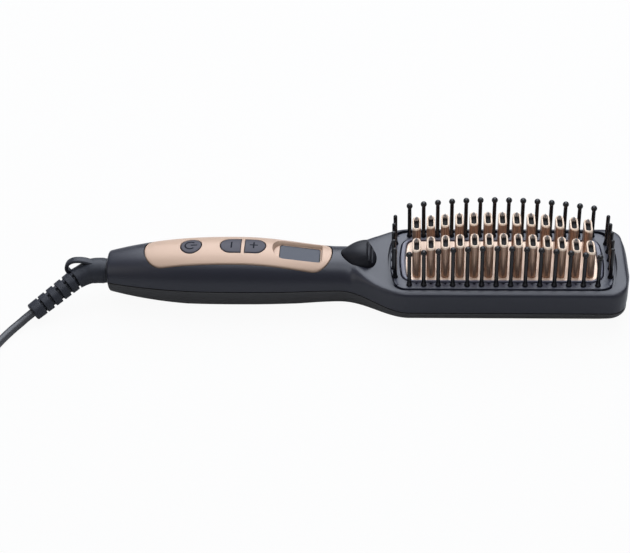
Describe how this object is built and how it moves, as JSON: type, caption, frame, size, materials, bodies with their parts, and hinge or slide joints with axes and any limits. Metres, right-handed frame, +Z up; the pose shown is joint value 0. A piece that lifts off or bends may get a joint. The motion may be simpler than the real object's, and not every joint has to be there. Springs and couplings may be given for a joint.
{
  "type": "steam hair straightener brush",
  "caption": "Steam hair straightening brush: round handle with control panel, flat head with heated plate, hollow steam fingers and ball-tipped guard pins, swivelling mains lead with plug.",
  "frame": {"origin": "centre of the brush's box in X and Y, at the lowest point of its back, measured without the cord and what is on it", "axes": "+X from the cord end of the handle to the tip of the head, +Y across the head, +Z up through the bristles, with the brush lying on its back"},
  "size_m": [0.4462, 0.1339, 0.0541],
  "materials": {
    "housing_upper": "soft-touch coated, very dark blue-violet grey",
    "housing_lower": "soft-touch coated, dark grey",
    "panel_gold": "satin champagne rose-gold metallised",
    "keys": "satin grey-blue with dark mark",
    "display_glass": "clear smoky acrylic window",
    "display": "dark segment display",
    "board": "solder-masked laminate",
    "switch_metal": "plain",
    "thumb_key": "matt black",
    "spring_steel": "drawn wire",
    "pump_plastic": "natural moulded plastic",
    "seal_rubber": "moulded",
    "tank": "translucent blue-grey",
    "plug_rubber": "moulded",
    "silicone": "translucent silicone",
    "cast_metal": "die cast",
    "plate_metal": "satin champagne coated",
    "finger_metal": "anodised copper-brown, bright rims",
    "tip_plastic": "heat-resistant black",
    "bristle_panel": "matt dark blue-grey",
    "bezel": "satin violet-grey",
    "pin_plastic": "near-black nylon",
    "ceramic": "white",
    "clamp_steel": "plain sheet",
    "insulation": "needled mineral fibre",
    "fuse_brass": "plain",
    "thermistor": "glazed bead",
    "screw_steel": "zinc plated",
    "lead_white": "silicone insulated",
    "lead_brown": "insulated",
    "bush_plastic": "natural acetal",
    "guard_rubber": "soft moulded, sheeny sleeve",
    "cord_rubber": "smooth sheath",
    "plug_black": "moulded",
    "plug_metal": "nickel plated"
  },
  "bodies": {
    "housing": {"upper_housing": "housing_upper", "back_cover": "housing_lower", "control_panel": "panel_gold", "display_window": "display_glass", "display_module": "display", "control_board": "board", "tact_switches": "switch_metal", "pump_cylinder": "pump_plastic", "water_tank": "tank", "water_tubes": "silicone", "steam_chamber": "cast_metal", "heater_plate": "plate_metal", "finger_row_front": "finger_metal", "finger_row_rear": "finger_metal", "finger_tips_front": "tip_plastic", "finger_tips_rear": "tip_plastic", "bristle_panel": "bristle_panel", "plate_bezel": "bezel", "pin_row_front": "pin_plastic", "pin_row_rear": "pin_plastic", "pin_column_inner": "pin_plastic", "pin_column_outer": "pin_plastic", "heating_elements": "ceramic", "element_clamp": "clamp_steel", "insulation_pad": "insulation", "thermal_fuse": "fuse_brass", "thermistor": "thermistor", "housing_screws": "screw_steel", "board_screws": "screw_steel", "heater_leads": "lead_white", "mains_leads": "lead_brown", "swivel_bush": "bush_plastic", "steam_spring": "spring_steel"},
    "power_key": {"power_button": "keys"},
    "minus_key": {"minus_button": "keys"},
    "plus_key": {"plus_button": "keys"},
    "steam_key": {"steam_button": "thumb_key", "pump_piston": "seal_rubber"},
    "filler_plug": {"tank_plug": "plug_rubber"},
    "swivel": {"cord_guard": "guard_rubber", "cord": "cord_rubber", "cord_coil": "cord_rubber", "cord_tail": "cord_rubber", "plug_body": "plug_black", "plug_pins": "plug_metal"}
  },
  "joints": [
    {"name": "power_press", "type": "slide", "parent": "housing", "child": "power_key", "axis": [0, 0, -1], "range_m": [0, 0.0006], "stiffness_N_per_m": 900, "springref_m": -0.0006},
    {"name": "minus_press", "type": "slide", "parent": "housing", "child": "minus_key", "axis": [0, 0, -1], "range_m": [0, 0.0006], "stiffness_N_per_m": 900, "springref_m": -0.0006},
    {"name": "plus_press", "type": "slide", "parent": "housing", "child": "plus_key", "axis": [0, 0, -1], "range_m": [0, 0.0006], "stiffness_N_per_m": 900, "springref_m": -0.0006},
    {"name": "steam_press", "type": "slide", "parent": "housing", "child": "steam_key", "axis": [0, 0, -1], "range_m": [0, 0.003], "stiffness_N_per_m": 800, "springref_m": -0.003, "deforming": ["steam_spring"]},
    {"name": "filler_pull", "type": "slide", "parent": "housing", "child": "filler_plug", "axis": [0, 0, -1], "range_m": [0, 0.006]},
    {"name": "cord_swivel", "type": "hinge", "parent": "housing", "child": "swivel", "pos_m": [-0.151, 0, 0.0187], "axis": [1, 0, 0], "continuous": true}
  ]
}
